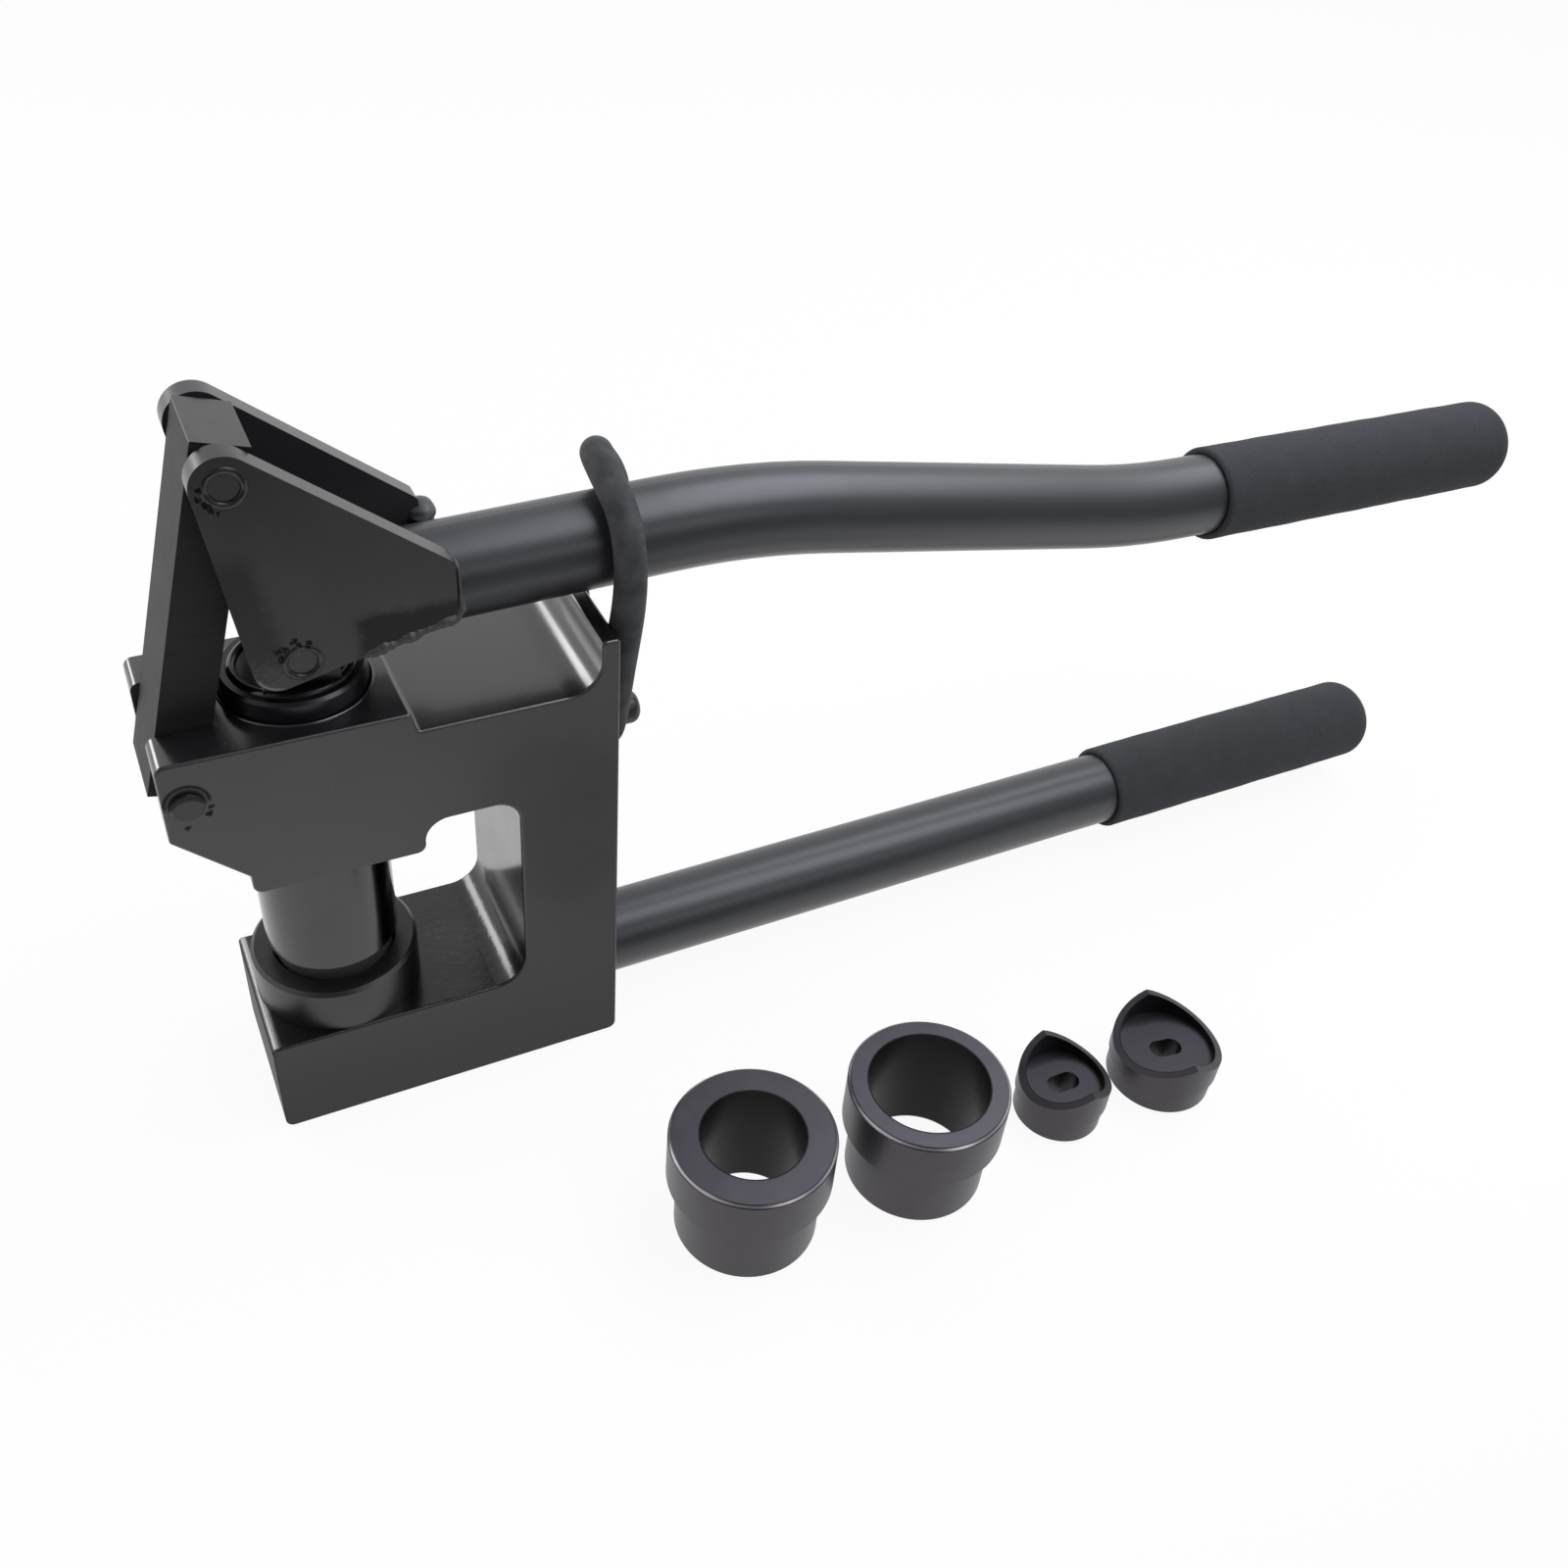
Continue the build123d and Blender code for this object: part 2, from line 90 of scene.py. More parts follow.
# A node tree to build in; place is the coordinate that its patterns read
class Bench:
    def __init__(self, tree, coordinates):
        self.tree = tree
        self.place = self.add("ShaderNodeTexCoord", {}, {}, coordinates)

    # any node: its type, its settings, then the values or links of its sockets
    def add(self, kind, settings, sockets, out=0):
        node = self.tree.nodes.new(kind)
        for key, value in settings.items():
            if key == "stops":
                ramp = node.color_ramp.elements
                while len(ramp) < len(value):
                    ramp.new(0.5)
                for stop, (position, colour) in zip(ramp, value):
                    stop.position = position
                    stop.color = colour
            else:
                setattr(node, key, value)
        for key, value in sockets.items():
            self.feed(node.inputs[key], value)
        return Value(self, node.outputs[out])

    def feed(self, socket, value):
        if isinstance(value, Value):
            self.tree.links.new(value.socket, socket)
        else:
            socket.default_value = value

    # several outputs of the node that a value comes from
    def outputs(self, value, keys):
        return [Value(self, value.socket.node.outputs[key]) for key in keys]

    def axes(self):
        return self.outputs(self.add("ShaderNodeSeparateXYZ", {}, {0: self.place}), range(3))

    def stretch(self, scale):
        return self.add("ShaderNodeMapping", {}, {"Vector": self.place, "Scale": scale})

    def noise(self, scale, detail, rough=0.55, at=None):
        sockets = {"Vector": at or self.place, "Scale": scale, "Detail": detail, "Roughness": rough}
        return self.add("ShaderNodeTexNoise", {}, sockets)

    # noise on stretched coordinates, which makes lines
    def lines(self, at):
        return self.noise(at=at, **lineNoise)

    # smooth step from 0 at the first end to 1 at the second, or between two other results
    def ease(self, value, ends, results=(0.0, 1.0)):
        sockets = {"Value": value, "From Min": ends[0], "From Max": ends[1]}
        sockets.update({"To Min": results[0], "To Max": results[1]})
        return self.add("ShaderNodeMapRange", {"interpolation_type": "SMOOTHSTEP"}, sockets)

    # smooth step along a length, between two places in mm
    def past(self, length, places):
        return self.ease(length, [place * mm for place in places])

    # colour between two: the Mix node's sockets 6 and 7 take colours, and its output 2 gives one
    def mix(self, mask, first, second):
        sockets = {0: mask, 6: first, 7: second}
        return self.add("ShaderNodeMix", {"data_type": "RGBA", "clamp_factor": True}, sockets, 2)

    # distance from a point in mm
    def gap(self, point):
        sockets = {0: self.place, 1: [v * mm for v in point]}
        return self.add("ShaderNodeVectorMath", {"operation": "DISTANCE"}, sockets, "Value")

    # round mark: 1 inside the radius, 0 outside; it fades over a soft share of the radius on each side
    def spot(self, point, radius, soft):
        return self.past(self.gap(point), (radius * (1 + soft), radius * (1 - soft)))

    # ring mark: 1 on the radius, 0 a width away from it
    def hoop(self, point, radius, width):
        return self.past(abs(self.gap(point) - radius * mm), (width, width * hoopCore))

    # punch dents on a face, with ragged rims: X, Z and radius in mm
    def dents(self, marks, face):
        ragged = dentRim["ragged"] * mm * (self.noise(*dentRim["noise"]) - 0.5)
        away = [self.gap((x, face, z)) + ragged - radius * mm for x, z, radius in marks]
        return self.most([self.past(off, (dentRim["soft"], -dentRim["soft"])) for off in away])

    # the highest of several marks
    def most(self, marks):
        top = marks[0]
        for mark in marks[1:]:
            top = top.maths("MAXIMUM", top, mark)
        return top


# One material; what is the same all over stands on the shader's own sockets
class Finish(Bench):
    names = {
        "colour": "Base Color", "roughness": "Roughness", "metallic": "Metallic",
        "coat": "Coat Weight", "coatRoughness": "Coat Roughness", "specular": "Specular IOR Level",
    }
    plain = {"roughness": 0.4, "metallic": 0.0, "coat": 0.0, "coatRoughness": 0.1, "specular": 0.5}

    def __init__(self, name, **values):
        self.material = bpy.data.materials.new(name)
        self.material.use_nodes = True
        super().__init__(self.material.node_tree, "Object")
        self.shader = self.tree.nodes["Principled BSDF"]
        self.set(**{**self.plain, **values})

    def set(self, **values):
        for key, value in values.items():
            self.feed(self.shader.inputs[self.names[key]], value)

    # bump: depth in mm
    def relief(self, height, depth, strength):
        sockets = {"Height": height, "Distance": depth * mm, "Strength": strength}
        self.feed(self.shader.inputs["Normal"], self.add("ShaderNodeBump", {}, sockets))


def rgb(r, g, b):
    return (r, g, b, 1.0)


# In the finishes below, places are in mm. A noise is its scale, its detail and, for foam, its roughness.
# A cut is where a noise starts and ends to count. Rough, metal, coat and bump say how much each mark weighs.

# Nose pin: punch dents beside it and the shadow over its flat end
noseMarks = {
    "face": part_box("frame")[0][1] / mm,
    "dents": [(-27.2, 121.8, 0.8), (-26.2, 123.8, 0.6), (-32.5, 118.9, 0.75)],
    "hole": (-31.5, 125.9), "holeRadius": 4.4, "holeSoft": 0.05,
    "arcRadius": 5.1, "arcWidth": 0.75, "above": (124.4, 126.4),
    "pin": (-31.4, 122.9), "pinRadius": 4.5, "pinSoft": 0.06,
    "strength": 0.8,
}


# thin arc at the hole's edge and thick crescent on the pin, which is the hole's circle less the pin's
def pinShadow(bench):
    marks = noseMarks
    hole, pin = [(marks[key][0], marks["face"], marks[key][1]) for key in ("hole", "pin")]
    above = bench.past(bench.axes()[2], marks["above"])
    arc = bench.hoop(hole, marks["arcRadius"], marks["arcWidth"]) * above
    within = bench.spot(hole, marks["holeRadius"], marks["holeSoft"])
    crescent = within * (1 - bench.spot(pin, marks["pinRadius"], marks["pinSoft"]))
    return bench.most([arc, crescent * marks["strength"]])


# Black enamel on the block: near-smooth gloss, duller on the sides, dusty in the throat; darker towards the
# base as painted shade
enamel = {
    "shader": {"coatRoughness": 0.1, "specular": 0.92},
    "deep": rgb(0.007, 0.007, 0.0075), "worn": rgb(0.013, 0.013, 0.0135), "dust": rgb(0.16, 0.16, 0.17),
    "mottle": (40.0, 3.0), "mottleCut": (0.35, 0.7), "dullCut": (0.3, 0.75),
    "specks": (900.0, 1.0), "speckCut": (0.75, 0.8), "speckShare": 0.3,
    "peel": (420.0, 2.0),
    "shadowShare": 0.9,
    "sides": (22.9, 23.3), "rise": (-10.0, 100.0), "low": (50.0, 40.0),
    "edge": {"x": (-21.2, -23.7), "z": (30.5, 33.4)},  # base's soft left edge
    "end": (-23.4, -23.9),  # base's end face, darker: painted shade along its edge
    "seat": {"x": (22.0, 26.0), "z": (33.0, 33.3)},  # throat's floor and its corner
    "dusty": {"at": (33.0, -1.0, 33.4), "radius": 8.0, "soft": 0.5, "share": 0.07},
    "grit": (750.0, 1.0), "gritCut": (0.64, 0.69), "gritShare": 0.4,
    "rough": {"plain": 0.19, "mottle": 0.07, "sides": 0.26, "dark": 0.2, "end": 0.3},
    "metal": {"dark": 0.8, "low": 0.55, "end": 0.9},
    "coat": {"plain": 0.06, "rise": 0.22, "sides": 0.6, "edge": 0.1},
    "bump": {"peel": 0.05, "seat": 0.3, "grit": 0.25, "edge": 3.0, "depth": 0.4, "strength": 0.6},
}


def blockEnamel():
    rough, metal, coat, bump = [enamel[key] for key in ("rough", "metal", "coat", "bump")]
    bench = Finish("blockEnamel", **enamel["shader"])
    x, y, z = bench.axes()
    mottle = bench.noise(*enamel["mottle"])
    peel = bench.noise(*enamel["peel"])
    specks = bench.ease(bench.noise(*enamel["specks"]), enamel["speckCut"]) * enamel["speckShare"]
    # dents darken as painted shade in their hollows; the nose pin's mark is a painted shadow
    dents = bench.dents(noseMarks["dents"], noseMarks["face"])
    dark = bench.most([dents, pinShadow(bench) * enamel["shadowShare"]])
    sides = bench.past(abs(y), enamel["sides"])
    rise = bench.past(z, enamel["rise"])
    low = bench.past(z, enamel["low"])
    edge = bench.past(x, enamel["edge"]["x"]) * bench.past(z, enamel["edge"]["z"]) * low
    # the end face is darkened, painted shade along the base's left edge
    end = bench.past(x, enamel["end"]) * low
    glossy = edge * (1 - end)
    seat = bench.past(x, enamel["seat"]["x"]) * bench.past(z, enamel["seat"]["z"]) * low * (1 - sides)
    dusty = bench.spot(*[enamel["dusty"][key] for key in ("at", "radius", "soft")]) * seat
    grit = bench.ease(bench.noise(*enamel["grit"]), enamel["gritCut"]) * dusty
    pale = bench.most([specks, grit * enamel["gritShare"], dusty * enamel["dusty"]["share"]])
    colour = bench.mix(bench.ease(mottle, enamel["mottleCut"]), enamel["deep"], enamel["worn"])
    dull = rough["plain"] + rough["mottle"] * bench.ease(mottle, enamel["dullCut"])
    bench.set(colour=bench.mix(pale, colour, enamel["dust"]))
    bench.set(roughness=dull + rough["sides"] * sides + rough["dark"] * dark + rough["end"] * end)
    # painted shade low on the block: less coat and more metallic towards the base darken it
    bare = metal["low"] * (1 - rise) * (1 - glossy)
    bench.set(metallic=bench.most([dark * metal["dark"], bare, metal["end"] * end]))
    clear = (coat["plain"] + coat["rise"] * rise) * (1 - dark) * (1 - coat["sides"] * sides) * (1 - end)
    bench.set(coat=clear + coat["edge"] * glossy)
    skin = peel * (bump["peel"] + bump["seat"] * seat) + bump["grit"] * grit
    bench.relief(skin - dents - bump["edge"] * edge, bump["depth"], bump["strength"])
    return bench.material


# Satin enamel on the plates and the lips round their pins: punch dents, darkened as painted shade, spatter
# beside the ram's pin, a painted highlight on the rim at the heel, and two darker patches, heat by the weld
# and painted shade by the left edge. The rear plate is lighter, painted light for its shaded inner face.
plateMarks = {
    "face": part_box("handle_plate_front")[0][1] / mm,
    "dents": [
        (-5.4, 159.7, 0.8), (-3.6, 160.1, 0.7), (-1.4, 161.9, 0.7), (-0.4, 160.6, 0.6), (1.7, 160.3, 0.8),
        (-4.6, 158.0, 0.6), (-5.0, 156.8, 0.5),
        (-15.9, 203.3, 0.7), (-16.5, 201.4, 0.7), (-15.1, 199.6, 0.8), (-14.3, 198.1, 0.7),
        (-12.8, 197.4, 0.5),
    ],
    "spatter": {"at": (-8.3, 154.5), "radius": 3.4, "soft": 0.3, "noise": (900.0, 1.0), "cut": (0.5, 0.62)},
    "heel": {"at": (-5.4, 154.9), "radius": 5.6, "width": 0.5, "x": (-4.0, -7.0), "z": (153.5, 152.0)},
    "heat": {"x": (11.0, 15.0), "z": (166.5, 163.0)},
    "shade": {
        "at": (-10.5, 170.5), "lean": 0.16, "x": (7.5, 2.0),
        "foot": (152.0, 161.0), "head": (190.0, 180.0),
    },
    "ragged": {"noise": (300.0, 2.0), "reach": 3.5},
    "front": (-16.0, -18.0), "rear": (10.0, 12.0),
}
leverCoat = {
    "shader": {"coatRoughness": 0.2, "specular": 0.4},
    "deep": rgb(0.009, 0.009, 0.0095), "worn": rgb(0.014, 0.014, 0.0145), "dark": rgb(0.005, 0.005, 0.0055),
    "litRear": rgb(0.05, 0.046, 0.054), "heelHighlight": rgb(0.24, 0.24, 0.25),
    "mottle": (60.0, 3.0), "mottleCut": (0.35, 0.7), "grain": (1500.0, 2.0),
    "heatShare": 0.75, "shadeShare": 0.45, "rearShare": 0.5, "heelShare": 0.6,
    "rough": {"plain": 0.3, "mottle": 0.06, "heat": 0.1},
    "metal": 0.8, "coat": 0.3,
    "bump": {"grain": 0.06, "spatter": 0.35, "depth": 0.5, "strength": 0.6},
}


def leverEnamel():
    marks, look = plateMarks, leverCoat
    face, heat, shade, heel, drops = [marks[key] for key in ("face", "heat", "shade", "heel", "spatter")]
    rough, bump = look["rough"], look["bump"]
    bench = Finish("leverEnamel", **look["shader"])
    x, y, z = bench.axes()
    mottle = bench.noise(*look["mottle"])
    grain = bench.noise(*look["grain"])
    dents = bench.dents(marks["dents"], face)
    ragged = marks["ragged"]["reach"] * mm * (bench.noise(*marks["ragged"]["noise"]) - 0.5)
    front = bench.past(y, marks["front"])
    burnt = bench.past(x + ragged, heat["x"]) * bench.past(z + ragged, heat["z"]) * front
    off = x - shade["at"][0] * mm + shade["lean"] * (z - shade["at"][1] * mm) + ragged
    dim = bench.past(off, shade["x"]) * front * bench.past(z, shade["foot"]) * bench.past(z, shade["head"])
    within = bench.spot((drops["at"][0], face, drops["at"][1]), drops["radius"], drops["soft"])
    spatter = bench.ease(bench.noise(*drops["noise"]), drops["cut"]) * within
    # painted highlight on the heel's rounded edge
    rim = bench.hoop((heel["at"][0], face, heel["at"][1]), heel["radius"], heel["width"])
    rim = rim * bench.past(x, heel["x"]) * bench.past(z, heel["z"])
    # dents and the patch by the left edge are painted shade; the patch by the weld is a heat tint
    dark = bench.most([dents, burnt * look["heatShare"], dim * look["shadeShare"]])
    colour = bench.mix(bench.ease(mottle, look["mottleCut"]), look["deep"], look["worn"])
    # the rear plate is lighter all over, painted light for its shaded inner face
    colour = bench.mix(bench.past(y, marks["rear"]) * look["rearShare"], colour, look["litRear"])
    colour = bench.mix(dark, colour, look["dark"])
    bench.set(colour=bench.mix(rim * look["heelShare"], colour, look["heelHighlight"]))
    bench.set(roughness=rough["plain"] + rough["mottle"] * mottle - rough["heat"] * burnt)
    bench.set(metallic=dark * look["metal"], coat=look["coat"] * (1 - dark))
    bench.relief(grain * bump["grain"] + spatter * bump["spatter"] - dents, bump["depth"], bump["strength"])
    return bench.material


# Welds: dull enamel over a fine scale
weldCoat = {
    "shader": {"coat": 0.12, "coatRoughness": 0.4},
    "low": rgb(0.035, 0.035, 0.036), "high": rgb(0.062, 0.062, 0.063),
    "scale": (700.0, 3.0),
    "rough": {"plain": 0.44, "scale": 0.12},
    "bump": {"depth": 0.12, "strength": 0.5},
}


def weldEnamel():
    rough = weldCoat["rough"]
    bench = Finish("weldEnamel", **weldCoat["shader"])
    scale = bench.noise(*weldCoat["scale"])
    bench.set(colour=bench.mix(scale, weldCoat["low"], weldCoat["high"]))
    bench.set(roughness=rough["plain"] + rough["scale"] * scale)
    bench.relief(scale, **weldCoat["bump"])
    return bench.material


# Link bar: dull enamel over fine crosswise mill marks, glossier on its cut top, which is found along its lean
linkCoat = {
    "shader": {"coatRoughness": 0.2, "specular": 0.25},
    "low": rgb(0.012, 0.012, 0.0125), "high": rgb(0.026, 0.026, 0.027),
    "lean": (0.257, 0.966), "top": (199.15, 199.55),
    "marks": (60.0, 60.0, 1100.0), "mottle": (80.0, 3.0),
    "rough": {"plain": 0.5, "mottle": 0.12, "top": 0.2},
    "coat": 0.55,
    "bump": {"depth": 0.06, "strength": 0.5},
}


def linkEnamel():
    rough, lean = linkCoat["rough"], linkCoat["lean"]
    bench = Finish("linkEnamel", **linkCoat["shader"])
    across, _, upward = bench.axes()
    top = bench.past(lean[0] * across + lean[1] * upward, linkCoat["top"])
    marks = bench.lines(bench.stretch(linkCoat["marks"]))
    mottle = bench.noise(*linkCoat["mottle"])
    bench.set(colour=bench.mix(marks, linkCoat["low"], linkCoat["high"]))
    bench.set(roughness=rough["plain"] + rough["mottle"] * mottle - rough["top"] * top)
    bench.set(coat=linkCoat["coat"] * top)
    bench.relief(marks, **linkCoat["bump"])
    return bench.material


# Ram: blackened and polished, with faint lines round it; its top is darker, painted shade under the plates,
# apart from the tongue's left face
ramLook = {
    "shader": {"coatRoughness": 0.06},
    "low": rgb(0.058, 0.058, 0.058), "high": rgb(0.076, 0.076, 0.076), "dark": rgb(0.014, 0.0125, 0.016),
    "rings": (6.0, 6.0, 1900.0), "smear": (70.0, 3.0),
    "flank": {"x": (-8.6, -9.1), "z": (143.7, 144.1)}, "top": (130.0, 134.0),
    "rough": {"plain": 0.13, "smear": 0.05, "rings": 0.04, "top": 0.12},
    "metal": {"plain": 1.0, "top": 0.6},
    "coat": {"plain": 0.25, "top": 0.15},
    "bump": {"depth": 0.008, "strength": 0.3},
}


def ramBlack():
    rough, metal, coat, flank = [ramLook[key] for key in ("rough", "metal", "coat", "flank")]
    bench = Finish("ramBlack", **ramLook["shader"])
    across, _, upward = bench.axes()
    rings = bench.lines(bench.stretch(ramLook["rings"]))
    smear = bench.noise(*ramLook["smear"])
    tongue = bench.past(across, flank["x"]) * bench.past(upward, flank["z"])
    # painted shade on the ram's top, under the plates
    top = bench.past(upward, ramLook["top"]) * (1 - tongue)
    polished = bench.mix(smear, ramLook["low"], ramLook["high"])
    bench.set(colour=bench.mix(top, polished, ramLook["dark"]))
    bench.set(metallic=metal["plain"] - metal["top"] * top, coat=coat["plain"] - coat["top"] * top)
    bench.set(roughness=rough["plain"] + rough["smear"] * smear + rough["rings"] * rings + rough["top"] * top)
    bench.relief(rings, **ramLook["bump"])
    return bench.material


# Pins and stud: blackened steel, painted over, with a rough cut end
pinLook = {
    "shader": {"coatRoughness": 0.25},
    "low": rgb(0.009, 0.009, 0.0095), "high": rgb(0.02, 0.02, 0.021),
    "patch": (420.0, 3.0),
    "rough": {"plain": 0.32, "patch": 0.16},
    "metal": 0.85, "coat": 0.22,
    "bump": {"depth": 0.18, "strength": 0.5},
}


def pinBlack():
    rough = pinLook["rough"]
    bench = Finish("pinBlack", **pinLook["shader"])
    patch = bench.noise(*pinLook["patch"])
    shadow = pinShadow(bench)
    bench.set(colour=bench.mix(patch, pinLook["low"], pinLook["high"]))
    bench.set(roughness=rough["plain"] + rough["patch"] * patch)
    bench.set(metallic=pinLook["metal"] * shadow, coat=pinLook["coat"] * (1 - shadow))
    bench.relief(patch, **pinLook["bump"])
    return bench.material


# Handle tubes: smooth satin powder coat
tubeCoat = {
    "shader": {"coat": 0.3, "coatRoughness": 0.36},
    "low": rgb(0.028, 0.029, 0.033), "high": rgb(0.034, 0.035, 0.04),
    "cloud": (60.0, 3.0), "powder": (3200.0, 2.0),
    "rough": {"plain": 0.34, "cloud": 0.05, "powder": 0.05},
    "bump": {"depth": 0.04, "strength": 0.4},
}


def tubeEnamel():
    rough = tubeCoat["rough"]
    bench = Finish("tubeEnamel", **tubeCoat["shader"])
    cloud = bench.noise(*tubeCoat["cloud"])
    powder = bench.noise(*tubeCoat["powder"])
    bench.set(colour=bench.mix(cloud, tubeCoat["low"], tubeCoat["high"]))
    bench.set(roughness=rough["plain"] + rough["cloud"] * cloud + rough["powder"] * powder)
    bench.relief(powder, **tubeCoat["bump"])
    return bench.material


# Foam grips: matte, finely pored
foamLook = {
    "shader": {"specular": 0.25},
    "low": rgb(0.043, 0.0435, 0.0475), "high": rgb(0.054, 0.0545, 0.059), "pit": rgb(0.006, 0.006, 0.007),
    "pores": (3000.0, 3.0, 0.7), "cloud": (110.0, 3.0),
    "pits": (1700.0, 1.0), "pitCut": (0.62, 0.74), "pitShare": 0.5,
    "rough": {"plain": 0.82, "pores": 0.12},
    "bump": {"depth": 0.3, "strength": 0.6},
}


def gripFoam():
    rough = foamLook["rough"]
    bench = Finish("gripFoam", **foamLook["shader"])
    pores = bench.noise(*foamLook["pores"])
    cloud = bench.noise(*foamLook["cloud"])
    pits = bench.ease(bench.noise(*foamLook["pits"]), foamLook["pitCut"]) * foamLook["pitShare"]
    colour = bench.mix(cloud, foamLook["low"], foamLook["high"])
    bench.set(colour=bench.mix(pits, colour, foamLook["pit"]))
    bench.set(roughness=rough["plain"] + rough["pores"] * pores)
    bench.relief(pores - pits, **foamLook["bump"])
    return bench.material


# Rubber ring: matte grey-black with a dusty bloom
rubberLook = {
    "shader": {"specular": 0.3},
    "low": rgb(0.036, 0.0365, 0.0385), "high": rgb(0.074, 0.075, 0.078),
    "grain": (2200.0, 3.0), "bloom": (130.0, 4.0), "bloomCut": (0.3, 0.7),
    "rough": {"plain": 0.66, "grain": 0.14},
    "bump": {"depth": 0.1, "strength": 0.5},
}


def ringRubber():
    rough = rubberLook["rough"]
    bench = Finish("ringRubber", **rubberLook["shader"])
    grain = bench.noise(*rubberLook["grain"])
    bloom = bench.ease(bench.noise(*rubberLook["bloom"]), rubberLook["bloomCut"])
    bench.set(colour=bench.mix(bloom, rubberLook["low"], rubberLook["high"]))
    bench.set(roughness=rough["plain"] + rough["grain"] * grain)
    bench.relief(grain, **rubberLook["bump"])
    return bench.material


def paint(material, *names):
    for name in names:
        slots = nodes[name].data.materials
        slots.clear()
        slots.append(material)


blockPaint = blockEnamel()
leverPaint = leverEnamel()
weldPaint = weldEnamel()
tubePaint = tubeEnamel()
foam = gripFoam()
rubber = ringRubber()
ramSteel = ramBlack()
paint(blockPaint, "frame")
paint(leverPaint, "handle_plate_front", "handle_plate_rear")
paint(weldPaint, "plate_weld_front", "plate_weld_rear")
paint(linkEnamel(), "link")
paint(ramSteel, "ram")
paint(tubePaint, "upper_handle_tube", "lower_handle_tube", "lower_handle_weld")
paint(pinBlack(), "link_lower_pin", "link_upper_pin", "ram_pin", "strap_stud", "punch_screw")
paint(foam, "upper_grip", "lower_grip")
paint(rubber, "handle_strap")

# Tooling: blackened steel with turning lines round each piece. The loose ones have painted shade in their
# bore or cup, and the dies among them a painted highlight round the top corner.
fittedSteel = {"low": rgb(0.058, 0.056, 0.057), "high": rgb(0.08, 0.077, 0.078), "rough": 0.28, "metal": 0.92}
cutterSteel = {"low": rgb(0.05, 0.046, 0.045), "high": rgb(0.066, 0.061, 0.06), "rough": 0.5, "metal": 0.15}
looseSteel = {"low": rgb(0.055, 0.051, 0.058), "high": rgb(0.079, 0.073, 0.082), "rough": 0.3, "metal": 0.85}
dieRim = {"radius": 22.4, "drop": 0.45, "width": 0.75, "core": 0.3, "ragged": 0.4, "share": 0.9}
tooling = {
    "die": {"steel": fittedSteel},
    "loose_die_small": {"steel": looseSteel, "bore": 14.3, "boreShade": 1.0, "rim": dieRim},
    "loose_die_large": {"steel": looseSteel, "bore": 17.05, "boreShade": 1.0, "rim": dieRim},
    "punch": {"steel": cutterSteel},
    "loose_punch_small": {"steel": looseSteel, "bore": 11.6, "boreShade": 0.55},
    "loose_punch_large": {"steel": looseSteel, "bore": 14.4, "boreShade": 0.55},
}
toolLook = {
    "boreShade": rgb(0.008, 0.0075, 0.008), "bright": rgb(0.5, 0.47, 0.48),
    "turning": {"outward": 1500.0, "upward": 2200.0}, "smear": (120.0, 3.0),
    "boreShadeEdge": (0.6, 0.2),
    "rough": {"smear": 0.1, "turning": 0.06, "bright": 0.1},
    "bump": {"depth": 0.02, "strength": 0.35},
}


# length of two offsets at right angles
def span(first, second):
    return (first ** 2.0 + second ** 2.0) ** 0.5


# the lines follow the distance from the piece's axis and the height; axis, foot and top come from its box
def toolBlack(name, tool):
    steel, rough, turns = tool["steel"], toolLook["rough"], toolLook["turning"]
    low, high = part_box(name)
    foot, top = low[2] / mm, high[2] / mm
    bench = Finish(name + "Black", metallic=steel["metal"])
    x, y, z = bench.axes()
    reach = span(x - (low[0] + high[0]) / 2, y - (low[1] + high[1]) / 2)
    section = {0: reach * turns["outward"], 2: z * turns["upward"]}
    turning = bench.lines(bench.add("ShaderNodeCombineXYZ", {}, section))
    smear = bench.noise(*toolLook["smear"])
    colour = bench.mix(smear, steel["low"], steel["high"])
    dull = steel["rough"] + rough["smear"] * smear + rough["turning"] * turning
    # painted shade inside the bore or cup
    if "boreShade" in tool:
        outer, inner = toolLook["boreShadeEdge"]
        within = bench.past(reach, (tool["bore"] + outer, tool["bore"] + inner))
        shadedBore = within * bench.past(z, (foot + inner, foot + outer))
        colour = bench.mix(shadedBore * tool["boreShade"], colour, toolLook["boreShade"])
    # painted highlight round the top corner of the loose dies
    if "rim" in tool:
        rim = tool["rim"]
        away = span(reach - rim["radius"] * mm, z - (top - rim["drop"]) * mm) + rim["ragged"] * mm * smear
        bright = bench.past(away, (rim["width"], rim["core"])) * rim["share"]
        colour = bench.mix(bright, colour, toolLook["bright"])
        dull = dull - rough["bright"] * bright
    bench.set(colour=colour, roughness=dull)
    bench.relief(turning, **toolLook["bump"])
    return bench.material


for name, tool in tooling.items():
    paint(toolBlack(name, tool), name)
print("materials made:", len(bpy.data.materials))

# Shapes, in mm
mergeGap = 1e-7  # in metres


